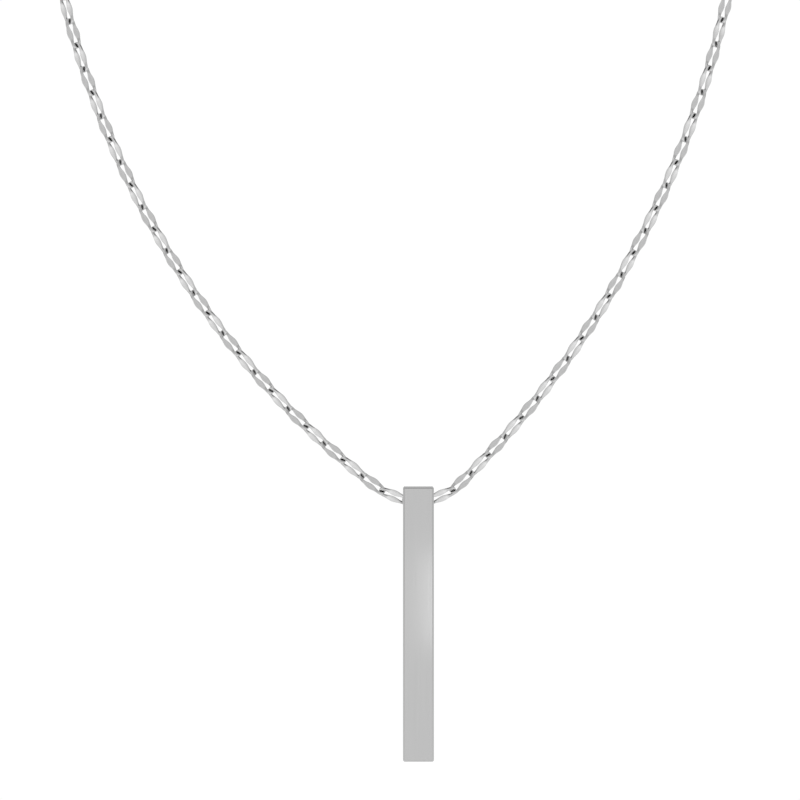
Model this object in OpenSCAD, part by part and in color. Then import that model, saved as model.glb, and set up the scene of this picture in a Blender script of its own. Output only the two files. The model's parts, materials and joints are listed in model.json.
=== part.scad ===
// Vertical bar pendant on a chain of pressed, leaf-sided links, in the form it has when worn.
// Millimetres, +Z up. The origin is the nape of the neck, at the middle of the clasp.
// The bar hangs in front, towards -Y, and the two strands rise from it and go back round the neck.

/* [Bar] */
// Width and depth of the square bar
bar_w = 4.1; // [3.9:0.05:4.6]
// Length of the bar
bar_l = 36.5; // [28:0.1:45]
// Bevel along every edge of the bar
bar_bevel = 0.2; // [0.1:0.05:0.4]
// Diameter of the cross hole that the chain runs through
hole_d = 2.4; // [2.3:0.05:2.6]
// Depth of the hole's axis below the top of the bar
hole_drop = 1.85; // [1.6:0.05:2.2]

/* [Chain link] */
// Distance from one joint of the chain to the next
pitch = 3.33; // [3.3:0.01:3.36]
// Distance between the middles of two crossing wires at a joint
joint_gap = 0.46; // [0.44:0.01:0.48]
// Diameter of the round wire at the two ends of a link
wire_d = 0.31; // [0.28:0.01:0.33]
// Distance between the middles of a link's two sides, near its ends
end_spread = 1.02; // [0.98:0.01:1.04]
// Distance between the middles of a link's two sides, half way along
waist_spread = 0.94; // [0.9:0.01:0.96]
// Radius of the four bends of a link, at the middle of the wire
bend_r = 0.3; // [0.26:0.01:0.32]
// Width of a pressed side, half way along the link
leaf_w = 0.79; // [0.6:0.01:0.8]
// Thickness of a pressed side, half way along the link
leaf_t = 0.16; // [0.14:0.01:0.25]
// Distance from the middle of a link at which its wire is round again
press_reach = 1.3; // [1.2:0.05:1.4]

/* [Lie of the links] */
// Turn of every link's ends about the chain, one link this way and the next one the other
end_turn = 45; // [43:1:47]
// Turn of the pressed sides of the links that lie nearly flat
flat_turn = 6; // [0:1:12]
// Turn of the pressed sides of the links that lean outwards
lean_turn = 20; // [10:1:26]

/* [Strands in front] */
// Sideways distance of the bar from the middle of the neck
bar_x = 3.1; // [0:0.1:6]
// Distance of the front of the necklace ahead of the nape
front_y = 108; // [107:0.5:109]
// Depth of the bar's hole below the nape
drop_z = 100; // [99:0.5:101]
// Sideways distance from the middle of the bar to the middle of the link inside it
thread_shift = -0.1; // [-0.2:0.05:0]
// Links that hang in the plane of the front: left strand, right strand
front_links = [25, 24];
// Slope of the first link out of the bar, in degrees: left strand, right strand
mouth_slope = [22, 23.5];
// Slope of the second link, in degrees: left strand, right strand
start_slope = [37.8, 44.6];
// Rise of the slope from each link to the next, in degrees: left strand, right strand
slope_step = [1.78, 1.49];
// Easing of that rise, in degrees for each link squared: left strand, right strand
slope_ease = [0.006, 0];

/* [Strands round the neck] */
// Links of each strand on the way from the front to the clasp
back_links = 41; // [40:1:42]
// Reach of the curve upwards where a strand leaves the front
rise_pull = 32; // [31:0.5:33]
// Reach of the curve sideways where a strand comes to the clasp
nape_pull = 42; // [41:0.5:43]

/* [Clasp] */
// Length of the plain barrel
barrel_l = 8; // [6:0.5:10]
// Diameter of the plain barrel
barrel_d = 2.8; // [2.2:0.1:3.6]
// Bevel at both ends of the barrel
barrel_bevel = 0.4; // [0.2:0.1:0.6]
// Radius of each eye, at the middle of its wire
eye_r = 0.8; // [0.75:0.05:1]
// Diameter of the wire of each eye
eye_wire = 0.36; // [0.32:0.01:0.38]
// Depth that each eye is sunk into the end of the barrel
eye_sink = 0.3; // [0.2:0.05:0.4]

/* [Hidden] */
silver = "silver";
// Segments round the bar's hole and the barrel, and round the wire of an eye
round_fn = 64;
eye_fn = 24;
// How far the drill runs out of the bar on each side
drill_over = 1;
// Flat part of a leaf to each side of its middle
leaf_flat = 0.3;
// Sides of a link's wire, and the angle from one corner of it to the next
wire_sides = 5;
corner_turn = 360 / wire_sides;
first_corner = 90 + corner_turn / 2;
// Steps in which the curve round the neck is measured
route_steps = 200;
hole_centre = [bar_x, -front_y, -drop_z];
link_reach = (pitch + joint_gap) / 2;
eye_x = barrel_l / 2 - eye_sink + eye_r;
clasp_reach = eye_x + eye_r - joint_gap / 2;
forwards = [0, -1, 0];

function unit(v) = v / norm(v);
function side_index(side) = side < 0 ? 0 : 1;

// How far a link is pressed at distance u from its middle: 1 half way along, 0 at the round ends
function pressed(u) = pow(cos(90 * min(abs(u) / press_reach, 1)), 2);
function between(at_end, at_middle, p) = at_end + (at_middle - at_end) * p;

// Stations round one quarter of a link, each [u, v, outward u, outward v]: the leaf, then the two
// ends of the bend, mitred so that the wire keeps its width
mitre = tan(22.5);
quarter = [
    [leaf_flat, between(end_spread, waist_spread, pressed(leaf_flat)) / 2, 0, 1],
    [link_reach - bend_r, end_spread / 2, mitre, 1],
    [link_reach, end_spread / 2 - bend_r, 1, mitre]
];
function flip(q, su, sv) = [q[0] * su, q[1] * sv, q[2] * su, q[3] * sv];
stations = concat(
    [for (i = [0 : 2]) quarter[i]],
    [for (i = [2 : -1 : 0]) flip(quarter[i], 1, -1)],
    [for (i = [0 : 2]) flip(quarter[i], -1, -1)],
    [for (i = [2 : -1 : 0]) flip(quarter[i], -1, 1)]
);
station_count = len(stations);
link_points = station_count * wire_sides;

// Wire section as a five-sided ring whose flat side faces forwards, scaled to one wide, one high
widest = abs(cos(first_corner + corner_turn));
section = [for (j = [0 : wire_sides - 1])
    [cos(first_corner + corner_turn * j) / widest, sin(first_corner + corner_turn * j)]];

// One corner of a link in its own axes: u along the chain, v to its outer side, w to its face
function link_corner(q, s, face_turn, tip_turn) =
    let (
        p = pressed(q[0]),
        across = between(wire_d, leaf_w, p) / 2 * s[0],
        u = q[0] + q[2] * across,
        v = q[1] + q[3] * across,
        w = between(wire_d, leaf_t, p) / 2 * s[1],
        turn = between(tip_turn, face_turn, pressed(u))
    )
    [u, v * cos(turn) - w * sin(turn), v * sin(turn) + w * cos(turn)];

// Both kinds of link: even ones lie nearly flat, odd ones lean outwards
link_kinds = [
    [for (q = stations, s = section) link_corner(q, s, flat_turn, end_turn)],
    [for (q = stations, s = section) link_corner(q, s, -lean_turn, -end_turn)]
];

// Slope of the front strand's link k, counted from the bar
function slope(side, k) =
    let (i = side_index(side))
    k == 1 ? mouth_slope[i] : start_slope[i] + slope_step[i] * (k - 2) - slope_ease[i] * pow(k - 2, 2);
function front_step(side, k) = [side * cos(slope(side, k)), 0, sin(slope(side, k))];

// Joints of a front strand, from the end of the link inside the bar upwards
function front_joints(side) =
    let (start = hole_centre + [thread_shift + side * pitch / 2, 0, 0], n = front_links[side_index(side)])
    [for (k = 0, p = start; k <= n; k = k + 1, p = p + pitch * front_step(side, k)) p];

// Curve from the front strand to the clasp, as a cubic with four control points
function bezier(c, t) =
    pow(1 - t, 3) * c[0] + 3 * t * pow(1 - t, 2) * c[1] + 3 * t * t * (1 - t) * c[2] + pow(t, 3) * c[3];
function back_controls(side, start) =
    let (nape_end = [side * clasp_reach, 0, 0])
    [
        start,
        start + rise_pull * front_step(side, front_links[side_index(side)]),
        nape_end + [side * nape_pull, 0, 0],
        nape_end
    ];
function running_length(p) =
    [for (i = 0, s = 0; i < len(p); i = i + 1, s = i < len(p) ? s + norm(p[i] - p[i - 1]) : s) s];

// Joints of the curve, at equal distances along it
function back_joints(side, start) =
    let (
        c = back_controls(side, start),
        s = running_length([for (i = [0 : route_steps]) bezier(c, i / route_steps)]),
        share = [for (i = [0 : route_steps]) [s[i], i / route_steps]],
        whole = s[route_steps]
    )
    [for (k = [1 : back_links]) bezier(c, lookup(whole * k / back_links, share))];

function strand_joints(side) =
    let (front = front_joints(side))
    concat(front, back_joints(side, front[len(front) - 1]));

// Direction of each link, and its face, carried along the strand without twisting
function headings(joints) = [for (k = [1 : len(joints) - 1]) unit(joints[k] - joints[k - 1])];
function faces_along(t) =
    [for (k = 0, f = forwards; k < len(t); k = k + 1, f = k < len(t) ? unit(f - (f * t[k]) * t[k]) : f) f];

// Corners of one link in place: m is its middle, t its direction and f its face
function placed(kind, side, m, t, f) =
    let (outer = side * cross(t, f))
    [for (c = link_kinds[kind]) m + c[0] * t + c[1] * outer + c[2] * f];

// Corners of a strand's links, from the one next to the bar to the one at the clasp
function strand_points(side) =
    let (joints = strand_joints(side), t = headings(joints), f = faces_along(t))
    [for (k = [0 : len(t) - 1])
        let (middle = (joints[k] + joints[k + 1]) / 2)
        each placed((k + 1) % 2, side, middle, t[k], f[k])];
function threaded_link_points() =
    placed(0, 1, hole_centre + [thread_shift, 0, 0], [1, 0, 0], forwards);

// Triangles round every link in a list of points, each link a closed ring of its own
function ring_faces(count, side) =
    [for (l = [0 : count - 1], i = [0 : station_count - 1], j = [0 : wire_sides - 1])
        let (
            base = l * link_points,
            i2 = (i + 1) % station_count,
            j2 = (j + 1) % wire_sides,
            a = base + i * wire_sides + j,
            b = base + i2 * wire_sides + j,
            c = base + i2 * wire_sides + j2,
            d = base + i * wire_sides + j2
        )
        each side > 0 ? [[c, b, a], [d, c, a]] : [[a, b, c], [a, c, d]]];

module links(points, side) {
    polyhedron(points = points, faces = ring_faces(len(points) / link_points, side));
}

// Rectangle with its corners cut off by the bevel
module bevelled_rectangle(w, h, c) {
    polygon([
        [-w / 2 + c, -h / 2], [w / 2 - c, -h / 2], [w / 2, -h / 2 + c], [w / 2, h / 2 - c],
        [w / 2 - c, h / 2], [-w / 2 + c, h / 2], [-w / 2, h / 2 - c], [-w / 2, -h / 2 + c]
    ]);
}

// Box whose twelve edges are bevelled: what three bevelled prisms have in common
module bevelled_box(w, d, h, c) {
    intersection() {
        linear_extrude(height = h, center = true) bevelled_rectangle(w, d, c);
        rotate([90, 0, 0]) linear_extrude(height = d, center = true) bevelled_rectangle(w, h, c);
        rotate([0, 90, 0]) linear_extrude(height = w, center = true) bevelled_rectangle(h, d, c);
    }
}

// Square bar, drilled across near its top
module bar_pendant() {
    color(silver)
    translate(hole_centre)
    difference() {
        translate([0, 0, hole_drop - bar_l / 2]) bevelled_box(bar_w, bar_w, bar_l, bar_bevel);
        rotate([0, 90, 0]) cylinder(d = hole_d, h = bar_w + 2 * drill_over, center = true, $fn = round_fn);
    }
}

// Strand on the left of the view from the front
module chain_left() {
    color(silver) links(strand_points(-1), -1);
}

// Strand on the right, with the link that lies inside the bar
module chain_right() {
    color(silver) links(concat(threaded_link_points(), strand_points(1)), 1);
}

// Eye at one end of the clasp, square to the end of the last link of that strand
module clasp_eye(side) {
    joints = strand_joints(side);
    t = headings(joints);
    f = faces_along(t);
    last = len(t) - 1;
    turn = last % 2 == 0 ? -end_turn : end_turn;
    axis = side * cross(t[last], f[last]) * cos(turn) + f[last] * sin(turn);
    translate([side * eye_x, 0, 0])
    rotate([atan2(axis[2], axis[1]) - 90, 0, 0])
    rotate_extrude($fn = round_fn)
    translate([eye_r, 0]) circle(d = eye_wire, $fn = eye_fn);
}

// Plain closed clasp: a barrel with an eye at each end, all one piece
module clasp() {
    color(silver)
    union() {
        rotate([0, 90, 0]) {
            cylinder(d = barrel_d, h = barrel_l - 2 * barrel_bevel, center = true, $fn = round_fn);
            for (end = [0, 1]) mirror([0, 0, end])
                translate([0, 0, barrel_l / 2 - barrel_bevel])
                cylinder(d1 = barrel_d, d2 = barrel_d - 2 * barrel_bevel, h = barrel_bevel, $fn = round_fn);
        }
        clasp_eye(-1);
        clasp_eye(1);
    }
}

bar_pendant();
chain_left();
chain_right();
clasp();
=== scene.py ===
# %% [markdown]
# # A square bar on a chain of leaf-sided links
# The object is a silver necklace: a polished square bar hangs from a fine chain that runs straight
# through a hole near its top. The imported model holds the same pieces in a plain form at their real
# size and place. This script dresses it. Each piece is worked out again with more faces, from the
# same measures, and gets a silver finish. The imported model is loaded first.

import json
import math

import bmesh
import bpy
import numpy as np
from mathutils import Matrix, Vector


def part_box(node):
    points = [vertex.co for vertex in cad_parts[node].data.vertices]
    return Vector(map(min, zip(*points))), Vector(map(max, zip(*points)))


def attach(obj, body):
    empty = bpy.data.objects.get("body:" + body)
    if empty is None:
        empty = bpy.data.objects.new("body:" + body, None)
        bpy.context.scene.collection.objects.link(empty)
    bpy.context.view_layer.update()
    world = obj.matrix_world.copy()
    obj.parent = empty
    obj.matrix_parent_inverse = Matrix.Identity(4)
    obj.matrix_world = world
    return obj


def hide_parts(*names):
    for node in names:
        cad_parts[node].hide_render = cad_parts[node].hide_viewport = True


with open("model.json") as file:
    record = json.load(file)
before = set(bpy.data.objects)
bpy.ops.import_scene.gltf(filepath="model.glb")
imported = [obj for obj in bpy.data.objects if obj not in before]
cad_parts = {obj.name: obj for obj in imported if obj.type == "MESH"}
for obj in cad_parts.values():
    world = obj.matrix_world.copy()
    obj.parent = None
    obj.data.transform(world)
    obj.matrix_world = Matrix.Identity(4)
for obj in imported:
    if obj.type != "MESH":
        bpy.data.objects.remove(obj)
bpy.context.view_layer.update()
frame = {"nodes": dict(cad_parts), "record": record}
print("nodes in the packed model:", sorted(frame["nodes"]))

# %% [markdown]
# ## Helpers for surfaces
# Every piece here is a grid of points that a formula gives. A grid becomes a surface when each point
# is joined to its neighbours by four-sided faces. A ring-shaped grid also joins its last row to its
# first. The sizes are written in millimetres, as a goldsmith gives them, and turned to metres at the
# very end.

# %% Grids of points and their faces
MM = 0.001
# points that agree to this many digits of a millimetre become one
WELD_DIGITS = 5


def grid_quads(rows, columns, ring_rows=False, ring_columns=False):
    """Four corner numbers for each face of a grid, row after row.

    A ring joins its last line to its first.
    """
    row = np.arange(rows if ring_rows else rows - 1)[:, None]
    column = np.arange(columns if ring_columns else columns - 1)[None, :]
    next_row = (row + 1) % rows
    next_column = (column + 1) % columns
    corners = [
        row * columns + column,
        next_row * columns + column,
        next_row * columns + next_column,
        row * columns + next_column,
    ]
    return np.stack(corners, axis=-1).reshape(-1, 4)


def piece_from_grids(name, grids, turn_over=False, attributes=None):
    """One mesh object from (points in millimetres, faces) pairs, welded where their points fall together.

    A face whose corners meet at a pole keeps three of them. An attribute is one or three numbers a point.
    """
    points = np.concatenate([grid.reshape(-1, 3) for grid, faces in grids])
    counts = [grid.size // 3 for grid, faces in grids]
    starts = np.concatenate([[0], np.cumsum(counts)[:-1]])
    quads = np.concatenate([faces + start for (grid, faces), start in zip(grids, starts)])
    rounded = np.round(points, WELD_DIGITS)
    kept, where = np.unique(rounded, axis=0, return_index=True, return_inverse=True)[1:]
    quads = where.reshape(-1)[quads]
    if turn_over:
        quads = quads[:, ::-1]
    corner_stays = quads != np.roll(quads, 1, axis=1)
    sides = corner_stays.sum(axis=1)
    mesh = bpy.data.meshes.new(name)
    mesh.vertices.add(len(kept))
    mesh.vertices.foreach_set("co", (points[kept] * MM).ravel())
    mesh.loops.add(int(sides.sum()))
    mesh.loops.foreach_set("vertex_index", quads[corner_stays])
    mesh.polygons.add(len(quads))
    mesh.polygons.foreach_set("loop_start", np.concatenate([[0], np.cumsum(sides)[:-1]]))
    mesh.polygons.foreach_set("use_smooth", np.ones(len(quads), bool))
    mesh.update(calc_edges=True)
    for attribute_name, values in (attributes or {}).items():
        width = values.shape[-1]
        kind, field = ("FLOAT_VECTOR", "vector") if width == 3 else ("FLOAT", "value")
        attribute = mesh.attributes.new(attribute_name, kind, "POINT")
        attribute.data.foreach_set(field, values.reshape(-1, width)[kept].ravel())
    piece = bpy.data.objects.new(name, mesh)
    bpy.context.scene.collection.objects.link(piece)
    print(f"{name}: {len(mesh.vertices)} points, {len(mesh.polygons)} faces")
    return piece


def unit(vectors):
    """Each vector divided by its own length."""
    return vectors / np.linalg.norm(vectors, axis=-1, keepdims=True)


# %% [markdown]
# ## The bar
# A goldsmith saws such a bar from square stock, drills it across near one end, files a small bevel
# along every edge and polishes it on a flat wheel, which leaves the faces flat and the edges softly
# rounded. A Bevel modifier could make the edges of a cube, but not the hole, and its profile is one
# number for all. A formula is as short: shrink the box by the edge's size, then go out from the
# shrunken box by that size. With a plain distance the way out sweeps a quarter circle, with the plain
# sum of its parts it draws a flat bevel, and a power in between gives what a file and then a felt
# wheel leave: a bevel with softened borders. All six sides use the same lists of x, y and z, so their
# borders fall together and weld into one skin.

# %% Sizes of the bar
BOX_DIGITS = 3
bar_low, bar_high = (np.round(np.array(corner) / MM, BOX_DIGITS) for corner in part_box("bar_pendant"))
bar_middle = (bar_low + bar_high) / 2
bar_half = (bar_high - bar_low) / 2
HOLE_CENTRE = np.array(frame["record"]["behaviour"]["joints"][0]["pos_m"]) / MM
HOLE_D = 2.4
HOLE_CHAMFER = 0.12
EDGE = 0.2
EDGE_POWER = 1.3
EDGE_SHARES = np.array([0, 0.02, 0.06, 0.15, 0.4, 1])
EDGE_REACH = 0.5
BESIDE_EDGE = np.array([0.3, 0.4, EDGE_REACH])
print("bar, width and length in mm:", 2 * bar_half[0], 2 * bar_half[2])

# %% Skin of the bar, without the two squares round the hole
BLOCK_HALF = 1.55
BLOCK_STEPS = 16
LINE_DIGITS = 6


def marks(half, between_edges):
    """Grid lines along one side: both edges' own, closest where the bevel begins, and those between."""
    edge = half - np.concatenate([EDGE - EDGE * EDGE_SHARES, BESIDE_EDGE])
    return np.unique(np.round(np.concatenate([-edge, between_edges, edge]), LINE_DIGITS))


def bevelled(points):
    """Points of a sharp box moved to the bevelled one.

    The way from the shrunken box to the point is divided by its power sum: its parts to the power
    EDGE_POWER, added up, and the root of that. A power of 2 gives a round edge and 1 a flat bevel.
    """
    core = np.clip(points, EDGE - bar_half, bar_half - EDGE)
    way = points - core
    size = (np.abs(way) ** EDGE_POWER).sum(axis=-1, keepdims=True) ** (1 / EDGE_POWER)
    return core + EDGE * way / size


hole = HOLE_CENTRE - bar_middle
block = np.linspace(-BLOCK_HALF, BLOCK_HALF, BLOCK_STEPS + 1)
side_lines = [marks(bar_half[0], []), marks(bar_half[1], block), marks(bar_half[2], hole[2] + block)]


def bar_side(axis, sign):
    """Grid of one side: two of the three coordinates run along their lines, the third stays put."""
    first, second = [(1, 2), (2, 0), (0, 1)][axis]
    first_run, second_run = np.meshgrid(side_lines[first], side_lines[second], indexing="ij")
    points = np.empty(first_run.shape + (3,))
    points[..., axis] = sign * bar_half[axis]
    points[..., first] = first_run
    points[..., second] = second_run
    quads = grid_quads(*first_run.shape)
    if axis == 0:
        centre = points.reshape(-1, 3)[quads].mean(axis=1) - hole
        outside = np.abs(centre[:, 1:]).max(axis=1) > BLOCK_HALF
        quads = quads[outside]
    if sign < 0:
        quads = quads[:, ::-1]
    return points, quads


# %% [markdown]
# The hole is one more grid: rings that start as the square left open on one side, turn into the
# circle of the chamfer, go through the bore, and open into the square on the other side. The square
# takes its points from the same lists of y and z as the sides, so no gap opens between them.

# %% The bore
# in mm, so that the lines on the square's own border are counted too
SLACK = 0.001


def across_block(axis):
    """The lines along one axis that cross the square round the hole, measured from the hole's middle."""
    run = side_lines[axis] - hole[axis]
    return run[np.abs(run) < BLOCK_HALF + SLACK]


y_run = across_block(1)
z_run = across_block(2)
square = np.concatenate([
    np.stack([y_run, np.full(len(y_run), -BLOCK_HALF)], axis=1)[:-1],
    np.stack([np.full(len(z_run), BLOCK_HALF), z_run], axis=1)[:-1],
    np.stack([y_run, np.full(len(y_run), BLOCK_HALF)], axis=1)[:0:-1],
    np.stack([np.full(len(z_run), -BLOCK_HALF), z_run], axis=1)[:0:-1],
])
circle = unit(square)
mouth = circle * (HOLE_D / 2 + HOLE_CHAMFER)
wall = circle * HOLE_D / 2
ring_shapes = [square, mouth, wall, wall, mouth, square]
ring_x = bar_half[0] - np.array([0, 0, HOLE_CHAMFER])
ring_x = np.concatenate([-ring_x, ring_x[::-1]])
bore = np.stack([np.column_stack([np.full(len(square), x), yz]) for x, yz in zip(ring_x, ring_shapes)])
bore = bore + [0, hole[1], hole[2]]
bore_quads = grid_quads(len(ring_x), len(square), ring_columns=True)
print("square and rings of the bore:", len(square), "points each,", len(ring_x), "rings")


# %% All seven grids become one skin
def from_edge(points):
    """Distance from the sharp box's nearest edge: the second smallest of its distances from the sides."""
    return np.sort(bar_half - np.abs(points).reshape(-1, 3), axis=1)[:, 1:2]


sharp_sides = [bar_side(axis, sign) for axis in range(3) for sign in (-1, 1)]
bar_grids = [(bevelled(points) + bar_middle, quads) for points, quads in sharp_sides]
bar_grids.append((bore + bar_middle, bore_quads))
distances = np.concatenate([from_edge(points) for points, quads in sharp_sides] + [from_edge(bore)])
bar = piece_from_grids("square_bar", bar_grids, attributes={"from_edge": distances})

# %% [markdown]
# ## The chain
# Each link starts as an oval ring of round wire. A press flattens both long sides into thin leaves,
# which spreads them until the slit between them almost closes, and leaves the two ends round. The
# links are closed through each other one by one, so neighbours stand across each other where they
# meet, while the leaves turn back towards the front. That is why every second link catches the light
# from another side. An Array modifier could repeat a link along a curve, but it can't turn every
# second one. So a link is worked out here as a wire that is carried round a closed line, with a
# section that goes from a circle to a flat leaf and back, and both kinds of it are laid in their
# places below. Along a link u runs towards the clasp, v to the outer side of the necklace and w to
# the front.

# %% Measures of one link
PITCH = 3.33
JOINT_GAP = 0.42
WIRE_D = 0.35
WIRE_EDGE_R = 0.09
END_WIRE = 0.41
END_SPREAD = 1.02
WAIST_SPREAD = 0.90
BEND_R = 0.3
LEAF_W = 0.76
LEAF_T = 0.14
LEAF_EDGE_R = 0.03
LINK_REACH = (PITCH + JOINT_GAP) / 2
print("link, length and width in mm:", 2 * LINK_REACH + END_WIRE, WAIST_SPREAD + LEAF_W)

# %% How far the press reaches
PRESS_REACH = 1.3
FLAT_REACH = 0.95
TURN_REACH = 1.75


def step_up(value, start, end):
    """0 before start, 1 after end, and half a cosine wave between them."""
    return (1 - np.cos(np.pi * np.clip((value - start) / (end - start), 0, 1))) / 2


def pressed(u):
    """How far the wire is pressed at u from a link's middle: 1 there and 0 from PRESS_REACH on."""
    return 1 - step_up(np.abs(u), 0, PRESS_REACH)


def held(u):
    """How far the press holds the wire to its plane: 1 up to FLAT_REACH, and 0 from TURN_REACH on."""
    return 1 - step_up(np.abs(u), FLAT_REACH, TURN_REACH)


def between(at_end, at_middle, share):
    """Goes from the value at the link's ends to the one at its middle."""
    return at_end + (at_middle - at_end) * share


leaf_widths = between(WIRE_D, LEAF_W, pressed([0, 0.5, 1]))
print("leaf, width in mm at 0, 0.5 and 1 mm from its middle:", leaf_widths.round(2))

# %% Middle line of the wire
LEAF_STATIONS = 10
BEND_STATIONS = 4


def wire_line():
    """Points u, v of the wire's middle and the way outwards there.

    A quarter of the link is half a side, which comes closer to the other side where the press holds it, a
    quarter circle and half an end. The other three quarters are its mirror images.
    """
    u = np.linspace(0, LINK_REACH - BEND_R, LEAF_STATIONS)
    side = np.stack([u, between(END_SPREAD, WAIST_SPREAD, held(u)) / 2, 0 * u, 0 * u + 1], axis=1)
    angle = np.linspace(np.pi / 2, 0, BEND_STATIONS + 1)[1:]
    way = np.stack([np.cos(angle), np.sin(angle)], axis=1)
    centre = np.array([LINK_REACH - BEND_R, END_SPREAD / 2 - BEND_R])
    bend = np.concatenate([centre + BEND_R * way, way], axis=1)
    end = np.array([[LINK_REACH, 0, 1, 0]])
    quarter = np.concatenate([side, bend])
    upper = np.concatenate([quarter, end, quarter[::-1] * [1, -1, 1, -1]])
    return np.concatenate([upper, upper[-2:0:-1] * [-1, 1, -1, 1]])


wire = wire_line()
wire_u, wire_v, way_u, way_v = wire.T[:, :, None]
print("stations round the link:", len(wire))

# %% Section of the wire, carried round the line
CORNER_STATIONS = 3
section_angle = (np.linspace(0, np.pi / 2, CORNER_STATIONS) + np.arange(4)[:, None] * np.pi / 2).ravel()
section_corner = np.repeat([[1, 1], [-1, 1], [-1, -1], [1, -1]], CORNER_STATIONS, axis=0)


def link_points(face_turn, tip_turn, skew):
    """A link in its own u, v and w, one row of points for each station.

    The section is a rounded rectangle, corner circles on a smaller rectangle, that stands across the wire.
    Skew moves the two long sides to and fro by one sine wave a pitch, because a real link is never quite
    straight. Then the link is twisted round u, by face_turn in its middle and by tip_turn at its ends.
    """
    share = pressed(wire_u)
    half_w = between(WIRE_D + (END_WIRE - WIRE_D) * way_u**2, LEAF_W, share) / 2
    half_t = between(WIRE_D, LEAF_T, share) / 2
    radius = between(WIRE_EDGE_R, LEAF_EDGE_R, share)
    across = section_corner[:, 0] * (half_w - radius) + np.cos(section_angle) * radius
    w = section_corner[:, 1] * (half_t - radius) + np.sin(section_angle) * radius
    u = wire_u + way_u * across
    v = wire_v + way_v * across + skew * np.sin(2 * np.pi * wire_u / PITCH)
    turn = np.radians(between(tip_turn, face_turn, held(u)))
    return np.stack([u, v * np.cos(turn) - w * np.sin(turn), v * np.sin(turn) + w * np.cos(turn)], axis=-1)


# %% The two kinds of link
FLAT_TURN = 6
FLAT_END_TURN = 45
FLAT_SKEW = 0.035
LEAN_TURN = 20
LEAN_END_TURN = 45

flat_link = link_points(FLAT_TURN, FLAT_END_TURN, FLAT_SKEW)
leaning_link = link_points(-LEAN_TURN, -LEAN_END_TURN, 0)
LINK_KINDS = np.stack([flat_link, leaning_link])
STATIONS, SECTION = flat_link.shape[:2]
print("points of one link:", STATIONS, "by", SECTION)

# %% [markdown]
# ### Painted shade in the joints, painted shade and highlights on the leaves
# The gap in each joint is painted black as shade, and that black slit is what makes the chain read as
# links from afar. Painted shade lies where a leaf narrows and along the edges that look inwards, and
# the bend of a leaning leaf gets a painted highlight. All of it repeats from link to link, so both are
# worked out once for each kind of link, as numbers on its points.

# %% Place of the painted shade in the joint's gap
# the black in each joint's gap is painted shade; it leans by GAP_LEAN and is weaker at every second joint
GAP_LEAN = math.tan(math.radians(18))
LOWER_JOINT_SHADE = 0.85


def joint_shade_places(points, kind_sign):
    """Place in the nearest joint's gap: along the chain, off its middle line, and the painted shade there.

    The middle line leans by GAP_LEAN, one way where a leaning link is below a flat one and the other way
    at the next joint, and the other way again seen from the back, so its signs are multiplied.
    """
    u, v, w = np.moveaxis(points, -1, 0)
    along = np.abs(u) - PITCH / 2
    lean = -kind_sign * np.sign(u)
    off = lean * v - GAP_LEAN * np.sign(u) * along * np.sign(w)
    return np.stack([along, off, np.where(lean > 0, 1, LOWER_JOINT_SHADE)], axis=-1)


JOINT_SHADE_KINDS = np.stack([joint_shade_places(flat_link, 1), joint_shade_places(leaning_link, -1)])
print("soot lies", PITCH / 2, "mm from the middle of each link")

# %% Bands of painted shade and highlight along a link
FILM = 0.12
# painted shade on the walls of leaning links that look inwards
INWARD_EDGE_SHADE = 0.62
SLIT_HALF = 0.1
INWARD_FROM = 0.2
# start, full, fading and gone along u in mm; painted shade on the outer leaf, painted shade on the
# inner leaf; a value below zero is a painted highlight
FLAT_SHADE_BANDS = [
    (-1.34, -0.98, -0.98, -0.62, 0.18, 0.0),
    (-1.45, -1.05, -1.05, -0.65, 0.0, 0.34),
    (0.8, 1.2, 1.5, 1.8, 0.29, 0.1),
]
LEANING_SHADE_AND_HIGHLIGHT_BANDS = [
    (0.23, 0.65, 0.65, 1.07, -FILM, -FILM),
    (-1.8, -0.95, -0.6, 0.5, 0.08, 0.04),
    (0.7, 0.95, 1.4, 1.7, 0.09, 0.0),
]
LEANING_EDGE_SHADE_BANDS = [
    (0.35, 1.0, 1.0, 1.3, INWARD_EDGE_SHADE, 0.0),
    (0.35, 1.0, 1.45, 1.7, 0.0, INWARD_EDGE_SHADE),
    (-1.52, -1.22, -1.22, -0.92, INWARD_EDGE_SHADE, 0.0),
]


def shade_and_highlight_of(bands, points):
    """The bands' painted shade and highlight added up: each steps up and down along u and changes from
    leaf to leaf.
    """
    u, v, w = np.moveaxis(points, -1, 0)
    outer_leaf = step_up(v, -SLIT_HALF, SLIT_HALF)
    darkening = np.zeros_like(u)
    for start, full, fading, gone, outer, inner in bands:
        in_band = step_up(u, start, full) * (1 - step_up(u, fading, gone))
        darkening += in_band * between(inner, outer, outer_leaf)
    return darkening


# 0 where the metal looks outwards by INWARD_FROM or more, and 1 where it looks straight into the slit
looks_inward = np.clip((INWARD_FROM - way_v * np.cos(section_angle)) / (1 + INWARD_FROM), 0, 1)
# base film on every link, plus the bands' painted shade and painted highlights
flat_film_and_shade = FILM + shade_and_highlight_of(FLAT_SHADE_BANDS, flat_link)
leaning_film_shade_and_highlight = FILM + shade_and_highlight_of(LEANING_SHADE_AND_HIGHLIGHT_BANDS, leaning_link)
leaning_film_shade_and_highlight += looks_inward * shade_and_highlight_of(LEANING_EDGE_SHADE_BANDS, leaning_link)
FILM_AND_PAINTED_LIGHT_KINDS = np.stack([flat_film_and_shade, leaning_film_shade_and_highlight])[..., None]
print("film, least and most:", FILM_AND_PAINTED_LIGHT_KINDS.min().round(2), FILM_AND_PAINTED_LIGHT_KINDS.max().round(2))

# %% [markdown]
# The strands hang in front almost in a plane, steeper from link to link, and then go round the neck
# in one smooth curve to the clasp. The joints between the links are placed first, at the slopes and
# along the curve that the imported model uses, and every link is then laid between two joints.

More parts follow.
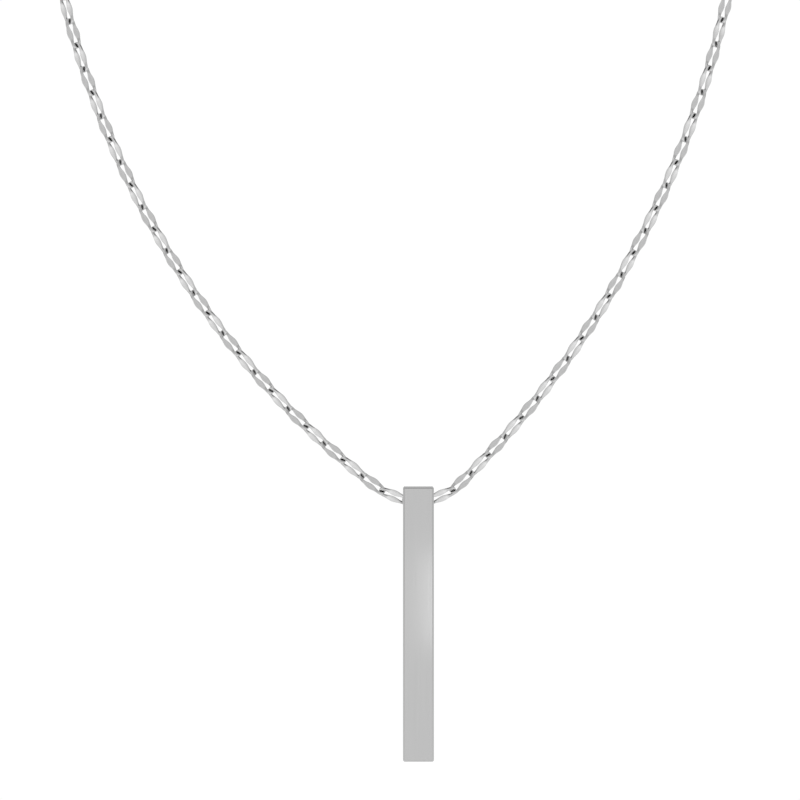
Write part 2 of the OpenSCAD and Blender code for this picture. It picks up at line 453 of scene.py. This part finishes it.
# %% Route of each strand
# -1 is the strand on the left and 1 the one on the right, and slopes are in degrees from level
FRONT = (0, -1, 0)
SIDEWAYS = (1, 0, 0)
THREAD_SHIFT = -0.1
FRONT_LINKS = {-1: 25, 1: 24}
MOUTH_SLOPE = {-1: 22, 1: 23.5}
START_SLOPE = {-1: 37.8, 1: 44.6}
SLOPE_STEP = {-1: 1.78, 1: 1.49}
SLOPE_EASE = {-1: 0.006, 1: 0}
BACK_LINKS = 41
RISE_PULL = 32
NAPE_PULL = 42
CLASP_REACH = 5.07
ROUTE_STEPS = 200


def cubic(corners, s):
    """Points at shares s of a cubic curve: four corners weighted by the terms of ((1 - s) + s) cubed."""
    weights = [(1 - s) ** 3, 3 * s * (1 - s) ** 2, 3 * s**2 * (1 - s), s**3]
    return sum(weight * corner for weight, corner in zip(weights, corners))


def strand_joints(side):
    """Joints from the bar to the clasp: steps at the front slopes, then equal lengths of a cubic curve.

    The first link takes MOUTH_SLOPE and the second START_SLOPE. The slope grows from there.
    """
    number = np.arange(1, FRONT_LINKS[side] + 1)
    past_second = number - 2
    slope = START_SLOPE[side] + SLOPE_STEP[side] * past_second - SLOPE_EASE[side] * past_second**2
    slope = np.radians(np.where(number == 1, MOUTH_SLOPE[side], slope))
    step = np.stack([side * np.cos(slope), 0 * slope, np.sin(slope)], axis=1)
    start = HOLE_CENTRE + [THREAD_SHIFT + side * PITCH / 2, 0, 0]
    front = start + PITCH * np.concatenate([np.zeros((1, 3)), np.cumsum(step, axis=0)])
    nape = np.array([side * CLASP_REACH, 0, 0])
    corners = [front[-1], front[-1] + RISE_PULL * step[-1], nape + [side * NAPE_PULL, 0, 0], nape]
    shares = np.linspace(0, 1, ROUTE_STEPS + 1)[:, None]
    lengths = np.linalg.norm(np.diff(cubic(corners, shares), axis=0), axis=1)
    run = np.concatenate([[0], np.cumsum(lengths)])
    at = np.interp(run[-1] * np.arange(1, BACK_LINKS + 1) / BACK_LINKS, run, shares[:, 0])[:, None]
    return np.concatenate([front, cubic(corners, at)])


def strand_axes(side):
    """Middle, way along, outer side and face of every link.

    Each face is the one before it, less its part along the link, so the strand doesn't twist.
    """
    joints = strand_joints(side)
    along = unit(np.diff(joints, axis=0))
    face = np.empty_like(along)
    face[0] = FRONT
    for number in range(1, len(along)):
        before = face[number - 1]
        face[number] = unit(before - (before @ along[number]) * along[number])
    return (joints[:-1] + joints[1:]) / 2, along, side * np.cross(along, face), face


# %% Lay the links along the strands
def strand_points(side):
    """Points of each link, its kind's u, v and w laid along its own three axes, and its kind.

    The strand on the right also has the link inside the bar, which lies level.
    """
    middle, along, outer, face = strand_axes(side)
    kind = np.arange(1, len(along) + 1) % 2
    if side > 0:
        middle = np.concatenate([[HOLE_CENTRE + [THREAD_SHIFT, 0, 0]], middle])
        along = np.concatenate([[SIDEWAYS], along])
        face = np.concatenate([[FRONT], face])
        outer = side * np.cross(along, face)
        kind = np.concatenate([[0], kind])
    axes = np.stack([along, outer, face], axis=1)
    return middle[:, None, None, :] + np.einsum("lijk,lkd->lijd", LINK_KINDS[kind], axes), kind


def chain_strand(name, side):
    """The strand as one piece: every link is a closed ring of its own that runs through its neighbours."""
    points, kind = strand_points(side)
    quads = grid_quads(STATIONS, SECTION, ring_rows=True, ring_columns=True)
    quads = quads + np.arange(len(points))[:, None, None] * STATIONS * SECTION
    # the joints' painted shade and the film with painted shade and highlights are stored on the points
    places = {"joint_shade_place": JOINT_SHADE_KINDS[kind], "darkening": FILM_AND_PAINTED_LIGHT_KINDS[kind]}
    return piece_from_grids(name, [(points, quads.reshape(-1, 4))], turn_over=side < 0, attributes=places)


chain_left = chain_strand("leaf_chain_left", -1)
chain_right = chain_strand("leaf_chain_right", 1)

# %% [markdown]
# ## The clasp
# The nape is out of the photo, so the clasp is the plainest that works: a turned barrel with a wire
# eye soldered into each end. A profile spun round the barrel's axis gives the barrel, a circle
# carried round another gives an eye.

# %% Turn the barrel and bend the eyes
BARREL_L = 8
BARREL_D = 2.79
BARREL_EDGE_R = 0.4
BARREL_EDGE_STATIONS = 7
EYE_R = 0.8
EYE_WIRE = 0.36
EYE_SINK = 0.3
TURNS = 48
EYE_SECTION = 12


def barrel():
    """A flat end, a quarter circle, the straight barrel and back, each point spun round X."""
    angle = np.linspace(0, np.pi / 2, BARREL_EDGE_STATIONS)
    x = np.concatenate([[BARREL_L / 2], BARREL_L / 2 - BARREL_EDGE_R * (1 - np.cos(angle))])
    radius = np.concatenate([[0], BARREL_D / 2 - BARREL_EDGE_R * (1 - np.sin(angle))])
    x = np.concatenate([x, -x[::-1]])
    radius = np.concatenate([radius, radius[::-1]])
    turn = np.linspace(0, 2 * np.pi, TURNS, endpoint=False)
    rings = radius[:, None, None] * np.stack([0 * turn, np.cos(turn), np.sin(turn)], axis=1)
    rings[..., 0] = x[:, None]
    return rings, grid_quads(len(x), TURNS, ring_columns=True)


def eye(side):
    """A ring of round wire, square to the end of the last link of that strand.

    Its axis loses its part along the barrel, so the ring stands straight on the barrel's end.
    """
    middle, along, outer, face = strand_axes(side)
    link_turn = math.radians(-LEAN_END_TURN if len(along) % 2 else FLAT_END_TURN)
    axis = outer[-1] * math.cos(link_turn) + face[-1] * math.sin(link_turn)
    axis = unit(axis * [0, 1, 1])
    round_ring = np.linspace(0, 2 * np.pi, TURNS, endpoint=False)[:, None, None]
    round_wire = np.linspace(0, 2 * np.pi, EYE_SECTION, endpoint=False)[None, :, None]
    away = np.cos(round_ring) * SIDEWAYS + np.sin(round_ring) * np.cross(axis, SIDEWAYS)
    points = away * (EYE_R + EYE_WIRE / 2 * np.cos(round_wire)) + EYE_WIRE / 2 * np.sin(round_wire) * axis
    points = points + [side * (BARREL_L / 2 - EYE_SINK + EYE_R), 0, 0]
    return points, grid_quads(TURNS, EYE_SECTION, ring_rows=True, ring_columns=True)


clasp_grids = [barrel(), eye(-1), eye(1)]
clasp_sizes = [points.size // 3 for points, quads in clasp_grids]
turned = np.repeat([1.0, 0.0, 0.0], clasp_sizes)[:, None]
clasp = piece_from_grids("barrel_clasp", clasp_grids, attributes={"turned": turned})

# %% [markdown]
# ## Silver
# Sterling silver reflects nearly all light evenly, so it has next to no colour of its own. What the
# eye reads is how smooth the metal is and what lies on it. Three things are therefore drawn for each
# finish here: a grey film of silver sulphide, which every worn piece has and which dims the mirror, and
# which on the bar's edges and on the links also carries painted shade and painted highlights; the
# roughness; and a relief too low to model, as bump. The film could be painted as an image, but an
# image would fix its resolution. Numbers stored on the points, and noise in the piece's own
# millimetres, stay sharp at any size. Blender's noise seldom leaves the range from 0.3 to 0.7, so
# that range is spread over the wanted values.

# %% Helpers for finishes
SILVER = "#FBFBFB"
# black of the sulphide film, which the painted shade also darkens towards
SULPHIDE_AND_SHADE_BLACK = "#060606"
NOISE = {"From Min": 0.3, "From Max": 0.7}


def linear(hex_colour):
    """An sRGB hex colour as the linear numbers that shaders take."""
    channels = np.array([int(hex_colour[i:i + 2], 16) for i in (1, 3, 5)]) / 255
    low = channels / 12.92
    high = ((channels + 0.055) / 1.055) ** 2.4
    return (*np.where(channels <= 0.04045, low, high).tolist(), 1.0)


def add_node(tree, kind, settings=None, inputs=None, stops=()):
    """Adds one node. Settings are its own properties, and an input takes a value or another node's socket.

    Stops are the (place, grey) pairs of a ramp.
    """
    node = tree.nodes.new(kind)
    for name, value in (settings or {}).items():
        setattr(node, name, value)
    for name, value in (inputs or {}).items():
        if isinstance(value, bpy.types.NodeSocket):
            tree.links.new(value, node.inputs[name])
        else:
            node.inputs[name].default_value = value
    for number, (place, grey) in enumerate(stops):
        elements = node.color_ramp.elements
        stop = elements[number] if number < 2 else elements.new(place)
        stop.position = place
        stop.color = (grey, grey, grey, 1)
    return node


def new_metal(name):
    """A metal with nothing on it yet, and its node tree. The index of refraction stays at its default."""
    material = bpy.data.materials.new(name)
    material.use_nodes = True
    material.node_tree.nodes["Principled BSDF"].inputs["Metallic"].default_value = 1.0
    return material, material.node_tree


def dress(tree, darkening, roughness, height, depth):
    """Joins the three finishing sockets to the shader.

    Darkening 0 is bare silver and 1 is the black of sulphide film and of painted shade. A height of 1
    stands one depth, in millimetres, above 0.
    """
    shader = tree.nodes["Principled BSDF"]
    colours = {0: darkening, 6: linear(SILVER), 7: linear(SULPHIDE_AND_SHADE_BLACK)}
    colour = add_node(tree, "ShaderNodeMix", {"data_type": "RGBA"}, colours)
    relief = add_node(tree, "ShaderNodeBump", {}, {"Height": height, "Distance": depth * MM})
    tree.links.new(colour.outputs[2], shader.inputs["Base Color"])
    tree.links.new(roughness, shader.inputs["Roughness"])
    tree.links.new(relief.outputs["Normal"], shader.inputs["Normal"])


print("silver reflects, linear:", round(linear(SILVER)[0], 3))

# %% [markdown]
# ### The bar: sterling silver, felt polished
# The bar was drawn lengthwise over a charged felt wheel. That leaves a soft mirror with very fine
# lines along the bar. Real lines are about 0.02 mm wide, too fine to show, so they are drawn 0.13 mm
# wide and only a few tenths of a micrometre deep. Along every edge three painted lines lie: a faint
# painted highlight just inside the edge, painted shade on the bevel, and less painted shade on its
# outermost edge. The distance from the edge is stored on the points, so one ramp over it lays all
# three lines along all twelve edges. The painted strips fade downwards into the film that the faces
# have.

# %% Polish lines of the bar
LINE_W = 0.13
LINE_L = 7
LINE_DEPTH = 0.0004
LINE_FILM = 0.01
SMOOTHEST_LINE = 0.185
ROUGHEST_LINE = 0.215

bar_silver, tree = new_metal("sterling_silver_felt_polished")
place = add_node(tree, "ShaderNodeTexCoord")
line_scale = (1 / (LINE_W * MM), 1 / (LINE_W * MM), 1 / (LINE_L * MM))
stretched = add_node(
    tree, "ShaderNodeMapping", inputs={"Vector": place.outputs["Object"], "Scale": line_scale}
)
polish = add_node(
    tree, "ShaderNodeTexNoise", inputs={"Vector": stretched.outputs[0], "Scale": 1.0, "Detail": 2.0}
)
line_film = add_node(
    tree, "ShaderNodeMapRange",
    inputs={"Value": polish.outputs["Fac"], **NOISE, "To Min": -LINE_FILM, "To Max": LINE_FILM},
)
roughness = add_node(
    tree, "ShaderNodeMapRange",
    inputs={"Value": polish.outputs["Fac"], **NOISE, "To Min": SMOOTHEST_LINE, "To Max": ROUGHEST_LINE},
)
print("bar: lines", LINE_W, "mm wide,", LINE_L, "mm long")

# %% Painted shade and highlight along the bar's edges
BAR_FILM = 0.1
# share of the painted edge strips left at the bar's lower end
LEFT_BELOW = 0.6
# distance from the edge in mm, film with painted shade and highlight
EDGE_SHADE_AND_HIGHLIGHT = [
    (0, 0.2), (0.1, 0.26), (0.16, 0.42), (0.24, 0.34),
    (0.29, 0.07), (0.38, 0.07), (0.44, BAR_FILM),
]

edge_distance = add_node(tree, "ShaderNodeAttribute", {"attribute_name": "from_edge"})
edge_share = add_node(
    tree, "ShaderNodeMath", {"operation": "DIVIDE"}, {0: edge_distance.outputs["Fac"], 1: EDGE_REACH}
)
edge_shade_and_highlight = add_node(
    tree, "ShaderNodeValToRGB", inputs={0: edge_share.outputs[0]},
    stops=[(distance / EDGE_REACH, grey) for distance, grey in EDGE_SHADE_AND_HIGHLIGHT],
)
along_bar = add_node(tree, "ShaderNodeSeparateXYZ", inputs={"Vector": place.outputs["Object"]})
left_over = add_node(
    tree, "ShaderNodeMapRange",
    inputs={
        "Value": along_bar.outputs["Z"], "From Min": bar_low[2] * MM, "From Max": bar_high[2] * MM,
        "To Min": LEFT_BELOW, "To Max": 1.0,
    },
)
# the painted edge strips fade downwards into the faces' film
edge_strips_fading_down = add_node(
    tree, "ShaderNodeMix", {"data_type": "FLOAT"},
    {0: left_over.outputs[0], 2: BAR_FILM, 3: edge_shade_and_highlight.outputs["Color"]},
)
darkening = add_node(
    tree, "ShaderNodeMath", {"operation": "ADD", "use_clamp": True},
    {0: edge_strips_fading_down.outputs[0], 1: line_film.outputs[0]},
)
dress(tree, darkening.outputs[0], roughness.outputs[0], polish.outputs["Fac"], LINE_DEPTH)
print("film on the faces:", BAR_FILM, "and most beside an edge:", max(grey for at, grey in EDGE_SHADE_AND_HIGHLIGHT))

# %% [markdown]
# ### The chain: sterling silver, pressed bright
# The links come bright from the press and are then tumbled with steel shot, which rounds the edges
# and leaves shallow dents of a few tenths of a millimetre. Painted shade lies as a dark strip along
# edges and as black in the joints' gaps, and painted highlights lie on the leaning leaves. Both are
# numbers stored on the points, because they follow the link and not the room. The place of the
# joints' painted shade is worked out above: a mask that fades at both ends and both sides of the
# gap. To the eye the dents and the painted tones give each leaf a soft glint of its own between two
# small black marks.

# %% Finish of the chain
# half length, half width and soft border of the painted shade in each joint's gap, in mm
JOINT_SHADE_HALF_L = 0.29
JOINT_SHADE_HALF_W = 0.12
JOINT_SHADE_SOFT = 0.05

chain_silver, tree = new_metal("sterling_silver_pressed_bright")
joint_shade_place = add_node(tree, "ShaderNodeAttribute", {"attribute_name": "joint_shade_place"})
joint_shade_parts = add_node(tree, "ShaderNodeSeparateXYZ", inputs={0: joint_shade_place.outputs["Vector"]})
masks = []
for number, half in enumerate((JOINT_SHADE_HALF_L, JOINT_SHADE_HALF_W)):
    away = add_node(tree, "ShaderNodeMath", {"operation": "ABSOLUTE"}, {0: joint_shade_parts.outputs[number]})
    fade = {"From Min": half - JOINT_SHADE_SOFT, "From Max": half + JOINT_SHADE_SOFT, "To Min": 1.0, "To Max": 0.0}
    mask = add_node(
        tree, "ShaderNodeMapRange", {"interpolation_type": "SMOOTHSTEP"},
        {"Value": away.outputs[0], **fade},
    )
    masks.append(mask.outputs[0])
in_gap = add_node(tree, "ShaderNodeMath", {"operation": "MULTIPLY"}, {0: masks[0], 1: masks[1]})
# painted shade in the joint: the gap's mask times its strength
joint_shade = add_node(
    tree, "ShaderNodeMath", {"operation": "MULTIPLY"}, {0: in_gap.outputs[0], 1: joint_shade_parts.outputs["Z"]}
)

# %% Film with painted shade and highlights, dents and roughness of the chain
DENT = 0.28
DENT_DEPTH = 0.0009
CLOUD = 1.1
CLOUD_FILM = 0.015
SMOOTHEST_LEAF = 0.18
ROUGHEST_LEAF = 0.22

place = add_node(tree, "ShaderNodeTexCoord")
dents = add_node(
    tree, "ShaderNodeTexNoise",
    inputs={"Vector": place.outputs["Object"], "Scale": 1 / (DENT * MM), "Detail": 1.0},
)
clouds = add_node(
    tree, "ShaderNodeTexNoise",
    inputs={"Vector": place.outputs["Object"], "Scale": 1 / (CLOUD * MM), "Detail": 2.0},
)
cloud_film = add_node(
    tree, "ShaderNodeMapRange",
    inputs={"Value": clouds.outputs["Fac"], **NOISE, "To Min": -CLOUD_FILM, "To Max": CLOUD_FILM},
)
# film with painted shade and highlights, stored on the links' points
link_film_and_painted_light = add_node(tree, "ShaderNodeAttribute", {"attribute_name": "darkening"})
film_painted_light_and_clouds = add_node(
    tree, "ShaderNodeMath", {"operation": "ADD", "use_clamp": True},
    {0: link_film_and_painted_light.outputs["Fac"], 1: cloud_film.outputs[0]},
)
darkening = add_node(
    tree, "ShaderNodeMath", {"operation": "MAXIMUM"}, {0: joint_shade.outputs[0], 1: film_painted_light_and_clouds.outputs[0]}
)
roughness = add_node(
    tree, "ShaderNodeMapRange",
    inputs={"Value": clouds.outputs["Fac"], **NOISE, "To Min": SMOOTHEST_LEAF, "To Max": ROUGHEST_LEAF},
)
dress(tree, darkening.outputs[0], roughness.outputs[0], dents.outputs["Fac"], DENT_DEPTH)
print("chain: dents", DENT, "mm across, clouds of film", CLOUD, "mm across")

# %% [markdown]
# ### The clasp: sterling silver, turned
# A lathe tool leaves a fine thread of rings round the barrel, which a polish softens but doesn't
# remove. A wave along the barrel's axis draws them 0.14 mm apart, about as fine as they can be seen.
# Blender's wave texture makes one ring in pi / 10 units, so the scale follows from the spacing. The
# eyes are drawn wire, so a number on the points, 1 on the barrel and 0 on the eyes, keeps the rings
# off them. To the eye the rings spread each reflection into a soft band along the barrel.

# %% Finish of the clasp
RING_STEP = 0.14
RING_DEPTH = 0.0008
RING_WANDER = 0.6
UNITS_A_RING = math.pi / 10
# film and roughness in the rings' grooves and on their ridges
GROOVE_FILM = 0.12
RIDGE_FILM = 0.08
GROOVE_ROUGHNESS = 0.2
RIDGE_ROUGHNESS = 0.15

clasp_silver, tree = new_metal("sterling_silver_turned")
place = add_node(tree, "ShaderNodeTexCoord")
rings = add_node(
    tree, "ShaderNodeTexWave", {"wave_type": "BANDS", "bands_direction": "X"},
    {
        "Vector": place.outputs["Object"], "Scale": UNITS_A_RING / (RING_STEP * MM),
        "Distortion": RING_WANDER,
    },
)
on_barrel = add_node(tree, "ShaderNodeAttribute", {"attribute_name": "turned"})
ridges = add_node(
    tree, "ShaderNodeMath", {"operation": "MULTIPLY"},
    {0: rings.outputs["Fac"], 1: on_barrel.outputs["Fac"]},
)
darkening = add_node(
    tree, "ShaderNodeMapRange",
    inputs={"Value": ridges.outputs[0], "To Min": GROOVE_FILM, "To Max": RIDGE_FILM},
)
roughness = add_node(
    tree, "ShaderNodeMapRange",
    inputs={"Value": ridges.outputs[0], "To Min": GROOVE_ROUGHNESS, "To Max": RIDGE_ROUGHNESS},
)
dress(tree, darkening.outputs[0], roughness.outputs[0], ridges.outputs[0], RING_DEPTH)
print("clasp: rings", RING_STEP, "mm apart")

# %% [markdown]
# ## Fasten the pieces to the frame
# Each new piece rides on the body of the imported node that it stands for and hides that node.
# Weighted normals let the large flat faces keep their own direction, so that all the rounding shows
# in the narrow edges. Smooth shading alone would bend the light on a flat face, and flat shading
# would facet it.

# %% One row for each piece: body, node, slot and finish
LARGE_FACES_LEAD = 100
DRESSED = [
    (bar, "bar", "bar_pendant", "bar_silver", bar_silver),
    (chain_left, "chain", "chain_left", "chain_silver", chain_silver),
    (chain_right, "chain", "chain_right", "chain_silver", chain_silver),
    (clasp, "chain", "clasp", "clasp_silver", clasp_silver),
]
for piece, body, node, slot, material in DRESSED:
    piece.data.materials.append(material)
    normals = piece.modifiers.new("flat faces stay flat", "WEIGHTED_NORMAL")
    normals.weight = LARGE_FACES_LEAD
    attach(piece, body)
    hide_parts(node)
print("pieces dressed:", [piece.name for piece, *rest in DRESSED])

# %% [markdown]
# ## Light tent
# Small silver pieces are photographed inside a tent of white cloth that lamps light from outside: the
# tent is all that the metal can mirror. Here the tent is split in two. The camera sees a pale floor
# and a dome that glow plain white. The metal sees the world behind them, because the two are hidden
# from reflections. That keeps the ground pure white and leaves the tones in the silver free to be
# set.

# %% Floor and dome
FLOOR_Z = -0.4
TENT_R = 2.4
TENT_SIDES = 96
TENT_RINGS = 24
CLOTH_GLOW = 1.02


def revolve(name, radius, height):
    """A profile of radius and height, in metres, spun round the vertical axis."""
    turn = np.linspace(0, 2 * np.pi, TENT_SIDES, endpoint=False)
    ring = np.stack([np.cos(turn), np.sin(turn), 0 * turn], axis=1)
    points = radius[:, None, None] * ring
    points[..., 2] = height[:, None]
    return piece_from_grids(name, [(points / MM, grid_quads(len(radius), TENT_SIDES, ring_columns=True))])


floor = revolve("floor", np.array([0, TENT_R]), np.array([FLOOR_Z, FLOOR_Z]))
climb = np.linspace(0, np.pi / 2, TENT_RINGS)
dome = revolve("tent", TENT_R * np.cos(climb), FLOOR_Z + TENT_R * np.sin(climb))
lit_cloth = bpy.data.materials.new("white_tent_cloth_lit_through")
lit_cloth.use_nodes = True
cloth_tree = lit_cloth.node_tree
cloth_tree.nodes.clear()
cloth_white = linear("#FFFFFF")
glow = add_node(cloth_tree, "ShaderNodeEmission", inputs={"Color": cloth_white, "Strength": CLOTH_GLOW})
add_node(cloth_tree, "ShaderNodeOutputMaterial", inputs={"Surface": glow.outputs["Emission"]})
for backdrop in (floor, dome):
    backdrop.data.materials.append(lit_cloth)
    backdrop.visible_glossy = False

# %% [markdown]
# ## Tones of the tent
# The metal's tones come from where each face looks. A face that looks at the camera mirrors the
# tent's front, where the lens opening makes it a middle grey. A link that leans outwards mirrors the
# part 40 degrees off, where a lamp stands, and a bevel mirrors the sides. So the tent's tone is a
# ramp over the angle away from the front, one for the lower half and one for the upper half, with a
# soft change between them. A picture of a studio would do too, but two short ramps say plainly which
# angle gives which tone.

# %% World light
# angle from the front in degrees, tone
LOWER_TONES = [
    (0, 0.6), (18, 0.65), (28, 0.75), (40, 0.88),
    (60, 0.82), (90, 0.64), (130, 0.66), (180, 0.6),
]
UPPER_TONES = [
    (0, 0.6), (18, 0.64), (30, 0.56), (40, 0.53),
    (60, 0.52), (90, 0.56), (130, 0.62), (180, 0.6),
]
# how far up a direction points, where the upper tones begin and where they hold alone
UPPER_FROM = -0.15
UPPER_TO = 0.4

world = bpy.data.worlds.new("tent_light")
bpy.context.scene.world = world
world.use_nodes = True
sky = world.node_tree
direction = add_node(sky, "ShaderNodeTexCoord")
towards = add_node(sky, "ShaderNodeSeparateXYZ", inputs={0: direction.outputs["Generated"]})
from_front = add_node(
    sky, "ShaderNodeMapRange", inputs={"Value": towards.outputs["Y"], "From Min": -1.0, "From Max": 1.0}
)
ramps = []
for tones in (LOWER_TONES, UPPER_TONES):
    tone_stops = [((1 - math.cos(math.radians(degrees))) / 2, tone) for degrees, tone in tones]
    ramps.append(add_node(sky, "ShaderNodeValToRGB", inputs={0: from_front.outputs[0]}, stops=tone_stops))
above = add_node(
    sky, "ShaderNodeMapRange", {"interpolation_type": "SMOOTHSTEP"},
    {"Value": towards.outputs["Z"], "From Min": UPPER_FROM, "From Max": UPPER_TO},
)
tent_tone = add_node(
    sky, "ShaderNodeMix", {"data_type": "RGBA"},
    {0: above.outputs[0], 6: ramps[0].outputs["Color"], 7: ramps[1].outputs["Color"]},
)
sky.links.new(tent_tone.outputs[2], sky.nodes["Background"].inputs["Color"])
print("tones straight ahead and at 40 degrees:", LOWER_TONES[0][1], LOWER_TONES[3][1])

# %% [markdown]
# ## One small lamp
# The front of the bar has a soft bright patch at its right edge, below its upper third. A flat mirror
# shows a lamp where the angle to the lamp equals the angle to the lens, so the patch's place fixes
# the lamp. The line from the lens to the patch is drawn on behind the bar's face, as far as the lamp
# is to stand away, and its end is mirrored to the front of that face. A lamp that is tall and narrow
# gives a patch that is tall and narrow, and the polish blurs its sides.

# %% Camera and lamp
# columns and rows are pixels of the photo, sizes are in mm and the power is in watts
PIXELS_PER_MM = 7.5
PHOTO_MIDDLE = 400
BAR_COLUMN = 418.4
HOLE_ROW = 500.5
CAMERA_DISTANCE = 500
SENSOR = 36
PATCH_COLUMN = 437
PATCH_ROW = 598
LAMP_AWAY = 38
LAMP_W = 2
LAMP_H = 13
LAMP_POWER = 4.2e-5
# turned from looking down to looking along +Y
LOOKS_BACK = (math.pi / 2, 0, 0)


def from_photo_middle(column, row):
    """A place in the photo as millimetres to the right of its middle and above it."""
    return np.array([column - PHOTO_MIDDLE, 0, PHOTO_MIDDLE - row]) / PIXELS_PER_MM


camera_place = HOLE_CENTRE - from_photo_middle(BAR_COLUMN, HOLE_ROW) - [0, CAMERA_DISTANCE, 0]
patch = camera_place + from_photo_middle(PATCH_COLUMN, PATCH_ROW)
patch[1] = bar_low[1]
lamp_place = patch + (patch - camera_place) * LAMP_AWAY / (patch[1] - camera_place[1])
lamp_place[1] = bar_low[1] - LAMP_AWAY
lamp_light = bpy.data.lights.new("small_soft_lamp", "AREA")
lamp_light.shape = "RECTANGLE"
lamp_light.size = LAMP_W * MM
lamp_light.size_y = LAMP_H * MM
lamp_light.energy = LAMP_POWER
lamp = bpy.data.objects.new("small_soft_lamp", lamp_light)
lamp.location = lamp_place * MM
lamp.rotation_euler = LOOKS_BACK
lamp.visible_camera = False
bpy.context.scene.collection.objects.link(lamp)
print("lamp, in mm:", lamp_place.round(1))

# %% [markdown]
# ## Camera
# The photo looks straight at the front, from far enough away that the bar's sides stay hidden. The
# lens follows from the scale: 7.5 pixels of the 800 cover one millimetre at the bar's distance.

# %% Place the camera
camera_data = bpy.data.cameras.new("camera")
camera_data.sensor_width = SENSOR
camera_data.lens = SENSOR * CAMERA_DISTANCE * PIXELS_PER_MM / (2 * PHOTO_MIDDLE)
camera = bpy.data.objects.new("camera", camera_data)
camera.location = camera_place * MM
camera.rotation_euler = LOOKS_BACK
bpy.context.scene.collection.objects.link(camera)
bpy.context.scene.camera = camera
bpy.context.scene.view_settings.view_transform = "Standard"
print("camera, in mm:", camera_place.round(1), "lens", round(camera_data.lens, 1))

# %% [markdown]
# ## Closed skins
# A silver piece is solid, so its skin has no open edge and all its faces look outwards. The volume
# inside a skin comes out below zero when the faces look inwards, so one number tests that.

# %% Measure the skins
def skin_of(piece):
    """Volume inside the skin in cubic millimetres, and how many edges don't join two faces wound alike."""
    skin = bmesh.new()
    skin.from_mesh(piece.data)
    volume = skin.calc_volume(signed=True) / MM**3
    odd_edges = sum(not edge.is_contiguous for edge in skin.edges)
    skin.free()
    return round(volume, 1), odd_edges


for piece, *rest in DRESSED:
    print(piece.name, "volume in cubic mm and odd edges:", *skin_of(piece))

# %% Update the scene at the end
bpy.context.view_layer.update()
